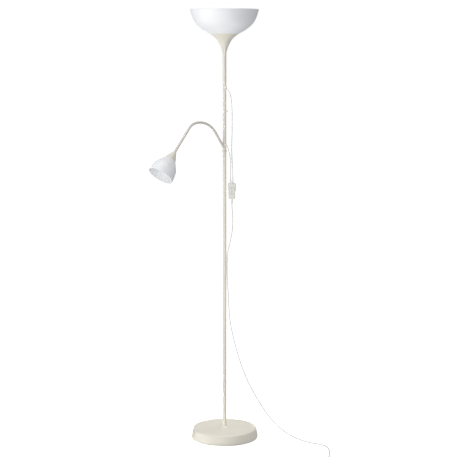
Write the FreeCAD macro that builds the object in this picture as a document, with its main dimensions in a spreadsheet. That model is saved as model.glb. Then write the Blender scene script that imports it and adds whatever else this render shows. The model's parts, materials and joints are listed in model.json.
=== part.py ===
import FreeCAD, Part
import math
import os
import Sketcher
from FreeCAD import Placement, Rotation, Vector

# Torchiere floor lamp with a second, gooseneck reading lamp.
# Millimetres, +Z up, origin on the floor at the pole's axis. The front of the lamp faces -Y.

DIMENSIONS = {
    # base
    "base_radius": 138.6, "base_wide_height": 8.0, "base_foot_radius": 136.5, "base_lip": 1.4,
    "base_top_radius": 131.2, "base_height": 41.0, "base_wall": 1.5, "base_rim_width": 6.8,
    "base_dish_depth": 0.9, "base_corner": 6.0, "base_shoulder": 4.5, "plate_bore": 14.0,
    "pad_height": 1.2, "pad_radius": 8.0, "pad_circle": 108.0, "pad_count": 5, "pad_middle": 20.0,
    "weight_radius": 118.0, "weight_bottom": 12.0, "weight_thickness": 10.0, "weight_boss": 20.0,
    "screw_radius": 5.0, "screw_head_height": 6.0, "screw_head_circle": 9.8, "screw_length": 62.0,
    "washer_radius": 16.0, "washer_thickness": 1.6, "insert_length": 34.0,
    "collar_radius": 18.0, "collar_height": 6.6,
    # pole
    "pole_radius": 7.5, "pole_bore": 6.5, "joint_1": 425.0, "joint_2": 809.5, "joint_3": 1193.5,
    "pole_top": 1606.0, "joint_gap": 0.4, "coupler_radius": 6.4, "coupler_bore": 4.6,
    "coupler_length": 44.0, "ring_radius": 10.2, "ring_height": 4.0, "fit_gap": 0.05,
    "tube_chamfer": 0.4,
    # uplighter
    "lamp_top": 1760.0, "bowl_wall": 1.8, "bowl_seat": 57.0, "bowl_seat_depth": 97.0,
    "bowl_floor_radius": 44.0, "bowl_floor_depth": 101.0, "bowl_hole": 20.5, "funnel_wall": 1.6,
    "nipple_radius": 5.0, "nipple_bore": 3.6, "nipple_length": 80.0, "nut_circle": 9.0,
    "nut_height": 4.0, "holder_radius": 19.6, "holder_shoulder": 23.0, "holder_height": 34.0,
    "holder_skirt": 14.0, "holder_wall": 2.0, "shade_ring_radius": 25.0, "shade_ring_height": 6.0,
    "bulb_radius": 28.0, "bulb_length": 78.0, "bulb_neck": 13.2, "bulb_cap_height": 22.0,
    # gooseneck arm: straight, wide bend, tight bend, straight, all in one upright plane
    "arm_azimuth": 222.0, "arm_start": 9.9, "arm_start_height": 1216.6, "arm_slope": 54.0,
    "arm_rise": 66.0, "arm_bend_1": 106.0, "arm_turn_1": 68.0, "arm_bend_2": 50.0,
    "arm_turn_2": 36.5, "arm_drop": 115.0, "arm_radius": 5.2, "arm_joints": 7,
    "arm_root": 12.0, "arm_first_joint": 36.0, "arm_pitch": 43.0, "ball_radius": 3.9, "cup_radius": 4.2,
    "ball_collar": 1.5, "cup_setback": 1.0, "stud_radius": 3.0, "stud_length": 13.0,
    # reading head, lengths along its axis from the arm's end
    "head_collar": 5.8, "head_seam": 43.0, "head_length": 118.0, "cap_wall": 1.5, "bell_wall": 1.6,
    "bell_hole": 14.6, "small_holder_radius": 12.5, "small_holder_start": 14.0,
    "small_holder_end": 50.0, "small_ring_radius": 17.5, "small_ring_height": 4.0,
    "small_bulb_radius": 20.0, "small_bulb_end": 90.0, "small_bulb_neck": 7.2,
    "small_bulb_cap": 6.8,
    # in-line switch
    "switch_x": 29.6, "switch_y": -8.0, "switch_top": 1063.0, "switch_height": 64.0,
    "switch_width": 33.4, "switch_foot_width": 28.0, "switch_depth": 21.0, "switch_seam": 11.0,
    "switch_wall": 1.8, "switch_corner": 3.0, "rocker_width": 10.4, "rocker_height": 22.0,
    "rocker_pitch": 13.0, "rocker_z": 1034.0, "rocker_rise": 2.2, "rocker_depth": 6.0,
    "rocker_gap": 0.35, "rocker_sweep": 1.5, "pivot_radius": 1.4, "pivot_length": 1.0,
    "pivot_inset": 3.2, "frame_border": 1.3, "frame_sink": 0.4,
    "contact_width": 6.0, "contact_depth": 4.0, "contact_height": 5.0, "contact_offset": 8.0,
    "case_screw_head": 2.6, "case_screw_rim": 1.2, "case_screw_proud": 0.9, "case_screw_shank": 1.3,
    "case_screw_length": 12.0, "case_screw_high": 7.0, "case_screw_low": 52.0,
    "relief_length": 20.0, "relief_root": 3.8, "relief_lip": 0.7,
    # leads and mains cord
    "lead_diameter": 4.5, "cord_diameter": 5.0, "exit_azimuth": -50.0, "exit_dip": 41.0,
    "exit_reach": 4.0, "exit_radius": 3.0, "upper_exit": 1451.0, "lower_exit": 1222.0,
    "clip_x": 10.0, "clip_y": -8.1, "clip_low": 751.0, "clip_high": 1355.0, "clip_bore": 2.75,
    "clip_wall": 1.25, "clip_height": 6.0, "clip_stem": 1.5, "clip_mouth": 3.4,
    "coil_x": 374.0, "coil_y": -362.0, "coil_inner": 20.0, "coil_outer": 35.0,
    "coil_lift": 0.8, "coil_height": 10.0, "tie_width": 9.0,
    # plug
    "plug_length": 36.0, "plug_width": 35.0, "plug_neck_width": 14.0, "plug_thickness": 13.7,
    "pin_radius": 2.0, "pin_length": 19.0, "pin_spacing": 18.6,
}

# Control points of the outside profiles: (radius, depth under the lamp's top).
BOWL_OUTSIDE = [(137.8, 0.0), (132.2, 20.0), (124.4, 40.0), (113.4, 57.0), (98.6, 71.0), (77.0, 86.0),
                (57.0, 97.0)]
FUNNEL_OUTSIDE = [(57.0, 97.0), (40.7, 109.0), (29.9, 120.0), (21.0, 135.0), (14.0, 151.0),
                  (9.4, 165.5), (8.4, 172.0)]
# The same for the reading head: (radius, distance from the arm's end).
CAP_OUTSIDE = [(7.0, 4.0), (16.0, 23.0), (24.6, 43.0)]
BELL_OUTSIDE = [(24.6, 43.0), (33.0, 55.0), (40.0, 65.0), (45.8, 77.0), (48.6, 90.0), (50.6, 104.0),
                (52.5, 118.0)]

# Routes of the leads and the cord: corner points of straight runs.
UPPER_LEAD = [(6.76, -8.06, 1448.38), (11.13, -13.26, 1442.47), (16.2, -16.8, 1436.2),
              (21.6, -18.6, 1426.0), (26.4, -18.8, 1408.0), (29.2, -17.6, 1378.0), (30.9, -15.6, 1326.0),
              (30.2, -13.4, 1268.0), (28.2, -11.6, 1210.0), (30.4, -9.9, 1156.0), (33.1, -8.4, 1119.0),
              (33.1, -8.0, 1083.0)]
READING_LEAD = [(6.76, -8.06, 1219.38), (9.67, -11.53, 1215.44), (12.4, -14.4, 1209.6),
                (15.0, -16.2, 1201.2), (18.6, -16.9, 1190.0), (21.9, -16.3, 1176.4),
                (24.0, -14.4, 1159.0), (24.5, -11.8, 1138.0), (24.3, -9.6, 1116.0), (24.2, -8.4, 1100.0),
                (24.2, -8.0, 1083.0)]
MAINS_CORD = [(29.6, -8.0, 979.0), (29.9, -8.0, 964.0), (32.6, -8.2, 940.0), (33.4, -8.7, 906.0),
              (31.2, -9.0, 870.0), (24.2, -8.9, 832.0), (16.0, -8.4, 796.0), (10.3, -8.1, 770.0),
              (9.9, -8.1, 736.0), (10.4, -8.1, 694.0), (12.2, -8.3, 646.0), (15.2, -9.0, 596.0),
              (17.6, -10.2, 545.0), (22.0, -12.0, 494.0), (33.5, -15.0, 436.0),
              (48.0, -18.8, 378.0), (65.0, -23.3, 322.0), (85.0, -28.8, 268.0), (110.5, -35.6, 215.0),
              (141.0, -43.8, 163.0), (175.5, -53.2, 111.0), (218.0, -64.4, 64.0), (266.0, -77.1, 30.5),
              (320.0, -91.3, 9.5), (370.0, -104.7, 2.5), (396.0, -117.0, 2.5), (414.0, -141.0, 2.5),
              (421.0, -177.0, 2.5), (420.5, -220.0, 2.5), (415.0, -266.0, 2.5), (408.5, -315.0, 2.9),
              (406.5, -362.0, 3.3)]
MAINS_TAIL = [(374.0, -394.5, 8.3), (350.0, -394.5, 8.0), (327.0, -397.0, 6.85), (309.0, -397.5, 6.85)]

doc = FreeCAD.newDocument("floor_lamp")
sheet = doc.addObject("Spreadsheet::Sheet", "Sheet")
pieces = []


def fill_sheet():
    for row, (alias, value) in enumerate(DIMENSIONS.items(), start=1):
        sheet.set("A%d" % row, alias)
        sheet.set("B%d" % row, str(value))
        sheet.setAlias("B%d" % row, alias)
    doc.recompute()


def dim(alias):
    return float(sheet.get(alias))


def keep(obj, label):
    """Registers an object as one sub-part, under its node name."""
    obj.Label = label
    pieces.append(obj)
    return obj


def bind(obj, **formulas):
    """Binds properties to the sheet; a key such as Base_z means Placement.Base.z."""
    for key, formula in formulas.items():
        path = "Placement.Base." + key[-1] if key.startswith("Base_") else key
        obj.setExpression(path, str(formula))
    return obj


def origin_plane(body, role):
    return [f for f in body.Origin.OriginFeatures if f.Role == role][0]


def bound_polygon(sketch, corners):
    """Closed outline; both coordinates of each corner are expressions on the sheet."""
    doc.recompute()
    values = [(sketch.evalExpression(u), sketch.evalExpression(v)) for u, v in corners]
    points = [Vector(float(getattr(u, "Value", u)), float(getattr(v, "Value", v)), 0) for u, v in values]
    count = len(points)
    for i in range(count):
        sketch.addGeometry(Part.LineSegment(points[i], points[(i + 1) % count]), False)
    for i in range(count):
        sketch.addConstraint(Sketcher.Constraint("Coincident", i, 2, (i + 1) % count, 1))
    for i, (u, v) in enumerate(corners):
        for kind, formula, value in (("DistanceX", u, points[i].x), ("DistanceY", v, points[i].y)):
            index = sketch.addConstraint(Sketcher.Constraint(kind, -1, 1, i, 1, value))
            sketch.setExpression("Constraints[%d]" % index, formula)


def new_sketch(body, name, role):
    sketch = body.newObject("Sketcher::SketchObject", name)
    sketch.AttachmentSupport = [(origin_plane(body, role), "")]
    sketch.MapMode = "FlatFace"
    return sketch


def turned(label, corners):
    """Body turned about its own Z axis from a polygon of (radius, height) expressions."""
    body = doc.addObject("PartDesign::Body", label)
    sketch = new_sketch(body, label + "_profile", "XZ_Plane")
    bound_polygon(sketch, corners)
    turn = body.newObject("PartDesign::Revolution", label + "_turn")
    turn.Profile = sketch
    turn.ReferenceAxis = (sketch, ["V_Axis"])
    turn.Angle = 360
    doc.recompute()
    return body


def tube(label, inner, outer, bottom, top):
    return turned(label, [(inner, bottom), (outer, bottom), (outer, top), (inner, top)])


def fillet_circles(body, circles):
    """Rounds the circular edges that lie at each (radius, height, fillet radius)."""
    base = body.Tip
    for number, (radius, height, size) in enumerate(circles):
        shape = base.Shape
        names = ["Edge%d" % (i + 1) for i, e in enumerate(shape.Edges)
                 if isinstance(e.Curve, Part.Circle) and abs(e.Curve.Radius - radius) < 0.01
                 and abs(e.CenterOfMass.z - height) < 0.01]
        fillet = body.newObject("PartDesign::Fillet", "%s_round_%d" % (body.Label, number + 1))
        fillet.Base = (base, names)
        fillet.Radius = size
        doc.recompute()
        base = fillet


def feature(label, shape, placement=None):
    """A sub-part whose shape comes from Part's own functions."""
    obj = doc.addObject("Part::Feature", label)
    obj.Shape = shape
    if placement is not None:
        obj.Placement = placement
    return keep(obj, label)


def primitive(kind, name, **formulas):
    return bind(doc.addObject("Part::" + kind, name), **formulas)


def cut(label, base, tools):
    result = base
    for number, tool in enumerate(tools, start=1):
        step = doc.addObject("Part::Cut", "%s_cut_%d" % (label, number))
        step.Base = result
        step.Tool = tool
        result = step
    return result


def fuse(label, shapes):
    result = doc.addObject("Part::MultiFuse", label)
    result.Shapes = shapes
    return result


def aim(obj, base, direction):
    """Turns an object's own Z axis to a direction and puts its origin at base."""
    obj.Placement = Placement(base, Rotation(Vector(0, 0, 1), direction))
    return obj


def smooth_profile(points):
    curve = Part.BSplineCurve()
    curve.interpolate([Vector(r, 0, z) for r, z in points])
    return curve


def offset_points(curve, wall, count=9):
    """Points at the wall's thickness towards the axis and away from the outside face."""
    points = []
    for i in range(count):
        u = curve.FirstParameter + (curve.LastParameter - curve.FirstParameter) * i / (count - 1)
        tangent = curve.tangent(u)[0]
        normal = Vector(-tangent.z, 0, tangent.x)
        if normal.x > 0:
            normal = -normal
        points.append(curve.value(u) + normal * wall)
    return points


def turned_wire(edges):
    """Solid of revolution about Z from the edges of a closed outline."""
    face = Part.Face(Part.Wire(Part.__sortEdges__(edges)))
    return face.revolve(Vector(0, 0, 0), Vector(0, 0, 1), 360)


def polyline_edges(points):
    vectors = [p if isinstance(p, Vector) else Vector(p[0], 0, p[1]) for p in points]
    return [Part.makeLine(a, b) for a, b in zip(vectors, vectors[1:])]


# ---------------------------------------------------------------- base
def make_base():
    plate_top = "Sheet.pad_height + 1"
    dish = "Sheet.base_height - Sheet.base_dish_depth"
    under = dish + " - Sheet.base_wall"
    rim = "Sheet.base_top_radius - Sheet.base_rim_width"
    bore = "Sheet.screw_radius + Sheet.fit_gap * 4"
    inside_top = "Sheet.base_top_radius - Sheet.base_wall * 1.5"
    inside_wide = "Sheet.base_radius - Sheet.base_wall * 1.4"
    lip = "Sheet.base_foot_radius - Sheet.base_lip"
    cover = turned("base_cover", [
        ("Sheet.base_foot_radius", "Sheet.pad_height"), ("Sheet.base_radius", "Sheet.base_wide_height"),
        ("Sheet.base_top_radius", "Sheet.base_height"), (rim, "Sheet.base_height"),
        (rim + " - 1", dish), (bore, dish), (bore, under), (inside_top, under),
        (inside_wide, "Sheet.base_wide_height + 0.5"), (lip, "Sheet.pad_height + Sheet.base_wall"),
        (lip, "Sheet.pad_height")])
    fillet_circles(cover, [(dim("base_radius"), dim("base_wide_height"), dim("base_corner")),
                           (dim("base_top_radius"), dim("base_height"), dim("base_shoulder"))])
    keep(cover, "base_cover")
    keep(tube("base_plate", "Sheet.plate_bore", lip + " - 0.3", "Sheet.pad_height", plate_top), "base_plate")
    weight_top = "Sheet.weight_bottom + Sheet.weight_thickness"
    keep(turned("base_weight", [
        (bore, "Sheet.weight_bottom"), ("Sheet.weight_radius", "Sheet.weight_bottom"),
        ("Sheet.weight_radius", weight_top), ("Sheet.weight_boss", weight_top),
        ("Sheet.weight_boss", under), (bore, under)]), "base_weight")
    keep(tube("base_washer", bore, "Sheet.washer_radius", "Sheet.weight_bottom - Sheet.washer_thickness",
              "Sheet.weight_bottom"), "base_washer")
    make_screw()
    make_pads()
    collar_top = dish + " + Sheet.collar_height"
    keep(turned("pole_collar", [
        ("Sheet.pole_radius + Sheet.fit_gap", dish), ("Sheet.collar_radius", dish),
        ("Sheet.collar_radius - 0.8", dish + " + 1.8"), ("Sheet.collar_radius - 4", dish + " + 4"),
        ("Sheet.collar_radius - 7.6", dish + " + 5.6"), ("Sheet.pole_radius + 0.9", collar_top),
        ("Sheet.pole_radius + Sheet.fit_gap", collar_top)]), "pole_collar")
    keep(tube("pole_foot_insert", "Sheet.screw_radius + Sheet.fit_gap", "Sheet.pole_bore - Sheet.fit_gap",
              dish, dish + " + Sheet.insert_length"), "pole_foot_insert")


def make_screw():
    head_top = "Sheet.weight_bottom - Sheet.washer_thickness"
    head = primitive("Prism", "screw_head", Circumradius="Sheet.screw_head_circle",
                     Height="Sheet.screw_head_height", Base_z=head_top + " - Sheet.screw_head_height")
    shank = primitive("Cylinder", "screw_shank", Radius="Sheet.screw_radius",
                      Height="Sheet.screw_length", Base_z=head_top)
    keep(fuse("base_screw", [head, shank]), "base_screw")


def make_pads():
    pads = [primitive("Cylinder", "pad_middle", Radius="Sheet.pad_middle", Height="Sheet.pad_height")]
    for i in range(int(dim("pad_count"))):
        turn = 360.0 * i / dim("pad_count") + 90
        pads.append(primitive("Cylinder", "pad_%d" % i, Radius="Sheet.pad_radius", Height="Sheet.pad_height",
                              Base_x="Sheet.pad_circle * cos(%g)" % turn,
                              Base_y="Sheet.pad_circle * sin(%g)" % turn))
    group = doc.addObject("Part::Compound", "base_pads")
    group.Links = pads
    keep(group, "base_pads")


# ---------------------------------------------------------------- pole
def exit_direction():
    azimuth, dip = math.radians(dim("exit_azimuth")), math.radians(dim("exit_dip"))
    return Vector(math.cos(azimuth) * math.cos(dip), math.sin(azimuth) * math.cos(dip), -math.sin(dip))


def exit_point(height):
    azimuth = math.radians(dim("exit_azimuth"))
    return Vector(math.cos(azimuth), math.sin(azimuth), 0) * dim("pole_radius") + Vector(0, 0, height)


def exit_drill(name, height, reach):
    """Slanted cylinder from inside the pole out through its wall, ending at reach outside it."""
    inside = 3.0
    direction = exit_direction()
    drill = primitive("Cylinder", name, Radius="Sheet.exit_radius", Height=reach + " + %g" % inside)
    return aim(drill, exit_point(height) - direction * inside, direction)


def clip_direction():
    return Vector(dim("clip_x"), dim("clip_y"), 0).normalize()


def clip_drill(name, height):
    drill = primitive("Cylinder", name, Radius="Sheet.clip_stem + Sheet.fit_gap",
                      Height="Sheet.pole_radius + 1")
    return aim(drill, Vector(0, 0, height), clip_direction())


def pole_section(label, bottom, top):
    """Tube with its outer end edges broken."""
    face = "Sheet.pole_radius - Sheet.tube_chamfer"
    return turned(label, [("Sheet.pole_bore", bottom), (face, bottom),
                          ("Sheet.pole_radius", bottom + " + Sheet.tube_chamfer"),
                          ("Sheet.pole_radius", top + " - Sheet.tube_chamfer"), (face, top),
                          ("Sheet.pole_bore", top)])


def make_pole():
    heights = ["Sheet.base_height - Sheet.base_dish_depth", "Sheet.joint_1", "Sheet.joint_2",
               "Sheet.joint_3", "Sheet.pole_top"]
    drills = {2: [clip_drill("clip_hole_low", dim("clip_low"))],
              4: [clip_drill("clip_hole_high", dim("clip_high")),
                  exit_drill("upper_exit_hole", dim("upper_exit"), "Sheet.exit_reach"),
                  exit_drill("lower_exit_hole", dim("lower_exit"), "Sheet.exit_reach"), arm_stud("arm_hole")]}
    for i in range(4):
        label = "pole_tube_%d" % (i + 1)
        top = heights[i + 1] + (" - Sheet.joint_gap" if i < 3 else "")
        section = pole_section(label + "_blank" if i + 1 in drills else label, heights[i], top)
        keep(cut(label, section, drills.get(i + 1, [])), label)
    for i in range(1, 4):
        middle = "Sheet.joint_%d" % i
        keep(tube("pole_coupler_%d" % i, "Sheet.coupler_bore", "Sheet.coupler_radius",
                  middle + " - Sheet.coupler_length / 2", middle + " + Sheet.coupler_length / 2 - 4"),
             "pole_coupler_%d" % i)
    keep(tube("arm_ring", "Sheet.pole_radius + Sheet.fit_gap", "Sheet.ring_radius",
              "Sheet.joint_3 - Sheet.ring_height / 2", "Sheet.joint_3 + Sheet.ring_height / 2"), "arm_ring")
    for label, height in (("lead_grommet_upper", "upper_exit"), ("lead_grommet_lower", "lower_exit")):
        keep(exit_drill(label, dim(height), "Sheet.exit_reach"), label)
    for label, height in (("cord_clip_lower", "clip_low"), ("cord_clip_upper", "clip_high")):
        make_clip(label, dim(height))
    keep(primitive("Cylinder", "inner_lead", Radius="Sheet.lead_diameter / 2", Base_z="Sheet.upper_exit + 8",
                   Height="Sheet.pole_top - Sheet.nipple_length / 2 - Sheet.upper_exit - 12"), "inner_lead")


def make_clip(label, height):
    """Open ring on a stem that snaps into a hole in the pole; the mouth faces away from the pole."""
    centre = Vector(dim("clip_x"), dim("clip_y"), height)
    out = clip_direction()
    facing = Rotation(Vector(1, 0, 0), out)
    low = centre - Vector(0, 0, dim("clip_height") / 2)
    ring = primitive("Cylinder", label + "_ring", Radius="Sheet.clip_bore + Sheet.clip_wall",
                     Height="Sheet.clip_height")
    ring.Placement = Placement(low, facing)
    bore = primitive("Cylinder", label + "_bore", Radius="Sheet.clip_bore", Height="Sheet.clip_height")
    bore.Placement = Placement(low, facing)
    mouth = primitive("Box", label + "_mouth", Length="Sheet.clip_bore + Sheet.clip_wall + 1",
                      Width="Sheet.clip_mouth", Height="Sheet.clip_height")
    mouth.Placement = Placement(low - facing.multVec(Vector(0, dim("clip_mouth") / 2, 0)), facing)
    stem = primitive("Cylinder", label + "_stem", Radius="Sheet.clip_stem",
                     Height=centre.dot(out) - dim("clip_bore") - dim("pole_bore") + 0.6)
    aim(stem, Vector(0, 0, height) + out * (dim("pole_bore") - 1.0), out)
    open_ring = cut(label, ring, [bore, mouth])
    keep(fuse(label, [open_ring, stem]), label)


# ---------------------------------------------------------------- uplighter
def to_height(points):
    return [(r, dim("lamp_top") - depth) for r, depth in points]


def make_bowl():
    outside = smooth_profile(to_height(BOWL_OUTSIDE))
    inside = offset_points(outside, dim("bowl_wall"))
    seat = dim("lamp_top") - dim("bowl_seat_depth")
    floor = dim("lamp_top") - dim("bowl_floor_depth")
    inside = [Vector(p.x, 0, min(p.z, dim("lamp_top"))) for p in inside[:-1]]
    inner = Part.BSplineCurve()
    inner.interpolate(inside)
    step = dim("bowl_seat") - 2.4
    foot = [(dim("bowl_seat"), seat), (step, seat), (dim("bowl_floor_radius"), floor),
            (dim("bowl_hole"), floor), (dim("bowl_hole"), floor + dim("bowl_wall")),
            (dim("bowl_floor_radius") - 1, floor + dim("bowl_wall")), inside[-1]]
    rim = polyline_edges([inside[0], (BOWL_OUTSIDE[0][0], dim("lamp_top"))])
    edges = [outside.toShape(), inner.toShape()] + polyline_edges(foot) + rim
    feature("bowl", turned_wire(edges))


def make_funnel():
    outside = smooth_profile(to_height(FUNNEL_OUTSIDE))
    seat = dim("lamp_top") - dim("bowl_seat_depth")
    bottom = dim("lamp_top") - FUNNEL_OUTSIDE[-1][1]
    bore = dim("pole_radius") + dim("fit_gap")
    wall = dim("funnel_wall")
    inside = [Vector(p.x, 0, p.z) for p in offset_points(outside, wall) if p.x > bore + 1.0]
    inside[0] = Vector(dim("bowl_seat") - 2.2, 0, seat)
    inner = Part.BSplineCurve()
    inner.interpolate(inside)
    last = inside[-1]
    neck = [last, (bore, last.z - 1.5), (bore, bottom), (FUNNEL_OUTSIDE[-1][0], bottom)]
    top = polyline_edges([inside[0], (dim("bowl_seat"), seat)])
    feature("funnel", turned_wire([outside.toShape(), inner.toShape()] + polyline_edges(neck) + top))


def make_uplighter():
    make_bowl()
    make_funnel()
    floor = "Sheet.lamp_top - Sheet.bowl_floor_depth"
    inside_floor = floor + " + Sheet.bowl_wall"
    keep(tube("pole_nipple", "Sheet.nipple_bore", "Sheet.nipple_radius",
              "Sheet.pole_top - Sheet.nipple_length / 2", "Sheet.pole_top + Sheet.nipple_length / 2"),
         "pole_nipple")
    nut = primitive("Prism", "nut_blank", Circumradius="Sheet.nut_circle", Height="Sheet.nut_height",
                    Base_z="Sheet.pole_top")
    hole = primitive("Cylinder", "nut_hole", Radius="Sheet.nipple_radius + Sheet.fit_gap",
                     Height="Sheet.nut_height", Base_z="Sheet.pole_top")
    keep(cut("nipple_nut", nut, [hole]), "nipple_nut")
    foot = floor + " - Sheet.holder_height + Sheet.holder_skirt"
    keep(turned("lampholder_upper", [
        ("Sheet.nipple_radius + Sheet.fit_gap", foot), ("Sheet.nipple_radius + 6", foot),
        ("Sheet.holder_shoulder", floor + " - 8"), ("Sheet.holder_shoulder", floor),
        ("Sheet.holder_radius", floor), ("Sheet.holder_radius", floor + " + Sheet.holder_skirt"),
        ("Sheet.holder_radius - Sheet.holder_wall", floor + " + Sheet.holder_skirt"),
        ("Sheet.holder_radius - Sheet.holder_wall", foot + " + 9.5"),
        ("Sheet.nipple_radius + Sheet.fit_gap", foot + " + 7.5")]), "lampholder_upper")
    keep(tube("shade_ring_upper", "Sheet.holder_radius + Sheet.fit_gap", "Sheet.shade_ring_radius",
              inside_floor, inside_floor + " + Sheet.shade_ring_height"), "shade_ring_upper")
    holder_top = dim("lamp_top") - dim("bowl_floor_depth") + dim("holder_skirt")
    make_bulb("bulb_upper", dim("bulb_neck"), dim("bulb_radius"), dim("bulb_length"),
              Placement(Vector(0, 0, holder_top), Rotation()))
    keep(tube("bulb_cap_upper", "Sheet.bulb_neck - 1.4", "Sheet.bulb_neck",
              floor + " + Sheet.holder_skirt - Sheet.bulb_cap_height", floor + " + Sheet.holder_skirt"),
         "bulb_cap_upper")


def make_bulb(label, neck, radius, length, placement):
    """Neck, tangent flank and round top, turned about Z; the neck starts at z = 0."""
    centre = length - radius
    slant = radius * math.sqrt(0.5)
    widest = Vector(radius, 0, centre)
    flank = Part.Arc(Vector(neck, 0, 0), Vector((neck + radius) / 2, 0, centre * 0.42), widest)
    crown = Part.Arc(widest, Vector(slant, 0, centre + slant), Vector(0, 0, length))
    axis = polyline_edges([(0, length), (0, 0), (neck, 0)])
    feature(label, turned_wire([flank.toShape(), crown.toShape()] + axis), placement)


# ---------------------------------------------------------------- gooseneck arm
def arm_plane():
    azimuth = math.radians(dim("arm_azimuth"))
    return Vector(math.cos(azimuth), math.sin(azimuth), 0)


def arm_sections():
    """The centreline as (kind, length, start point, start slope in radians, bend radius), in order."""
    slope = math.radians(dim("arm_slope"))
    point = (dim("arm_start"), dim("arm_start_height"))
    plan = [("line", dim("arm_rise"), 0), ("bend", dim("arm_turn_1"), dim("arm_bend_1")),
            ("bend", dim("arm_turn_2"), dim("arm_bend_2")), ("line", dim("arm_drop"), 0)]
    sections = []
    for kind, size, radius in plan:
        length = size if kind == "line" else radius * math.radians(size)
        sections.append((kind, length, point, slope, radius))
        point, slope = section_end(sections[-1], length)
    return sections


def section_end(section, along):
    """Point (reach, height) and slope at a distance along one section."""
    kind, length, (reach, height), slope, radius = section
    if kind == "line":
        return (reach + along * math.cos(slope), height + along * math.sin(slope)), slope
    turned_slope = slope - along / radius
    centre = (reach + radius * math.sin(slope), height - radius * math.cos(slope))
    point = (centre[0] - radius * math.sin(turned_slope), centre[1] + radius * math.cos(turned_slope))
    return point, turned_slope


def arm_at(distance):
    """Position and unit tangent of the centreline at a distance from its start."""
    sections = arm_sections()
    while len(sections) > 1 and distance > sections[0][1]:
        distance -= sections.pop(0)[1]
    section = sections[0]
    (reach, height), slope = section_end(section, distance)
    plane = arm_plane()
    return (plane * reach + Vector(0, 0, height), plane * math.cos(slope) + Vector(0, 0, math.sin(slope)))


def arm_length():
    return sum(section[1] for section in arm_sections())


def arm_stations():
    return [dim("arm_first_joint") + dim("arm_pitch") * i for i in range(int(dim("arm_joints")))]


def arm_wire(start, end):
    """Exact lines and arcs of the centreline between two distances."""
    edges = []
    passed = 0.0
    for section in arm_sections():
        low, high = max(start, passed), min(end, passed + section[1])
        if high - low > 1e-6:
            ends = [arm_at(low + 1e-9)[0], arm_at((low + high) / 2)[0], arm_at(high)[0]]
            if section[0] == "line":
                edges.append(Part.makeLine(ends[0], ends[2]))
            else:
                edges.append(Part.Arc(*ends).toShape())
        passed += section[1]
    return Part.Wire(Part.__sortEdges__(edges))


def swept_rod(wire, start, tangent, radius):
    ring = Part.Wire([Part.makeCircle(radius, start, tangent)])
    return wire.makePipeShell([ring], True, True)


def arm_stud(name):
    """Stud at the arm's root that goes through the pole's wall."""
    base, tangent = arm_at(0.0)
    stud = primitive("Cylinder", name, Radius="Sheet.stud_radius", Height="Sheet.stud_length")
    return aim(stud, base - tangent * dim("stud_length"), tangent)


def make_arm():
    stations = arm_stations()
    pole = Part.makeCylinder(dim("pole_radius"), dim("pole_top"))
    bore = Part.makeCylinder(dim("coupler_radius") + dim("fit_gap"), dim("pole_top"))
    for i in range(len(stations) + 1):
        start = stations[i - 1] + dim("ball_collar") if i else -dim("arm_root")
        end = stations[i] - dim("cup_setback") if i < len(stations) else arm_length()
        if i:
            wire = arm_wire(start, end)
            base, tangent = arm_at(start)
            rod = swept_rod(wire, base, tangent, dim("arm_radius"))
            rod = rod.fuse(Part.makeSphere(dim("ball_radius"), arm_at(stations[i - 1])[0]))
        else:
            base, tangent = arm_at(0.0)
            rod = Part.makeCylinder(dim("arm_radius"), end - start, base + tangent * start, tangent).cut(pole)
            root = base - tangent * dim("stud_length")
            stud = Part.makeCylinder(dim("stud_radius"), dim("stud_length"), root, tangent).cut(bore)
            rod = rod.fuse(stud)
        if i < len(stations):
            rod = rod.cut(Part.makeSphere(dim("cup_radius"), arm_at(stations[i])[0]))
        solid = max(rod.Solids, key=lambda s: s.Volume)
        feature("arm_link_%d" % i, solid)


# ---------------------------------------------------------------- reading head
def head_placement():
    """The head's own Z axis runs along the arm's end, away from the arm."""
    base, tangent = arm_at(arm_length())
    return Placement(base, Rotation(Vector(0, 0, 1), tangent))


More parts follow.
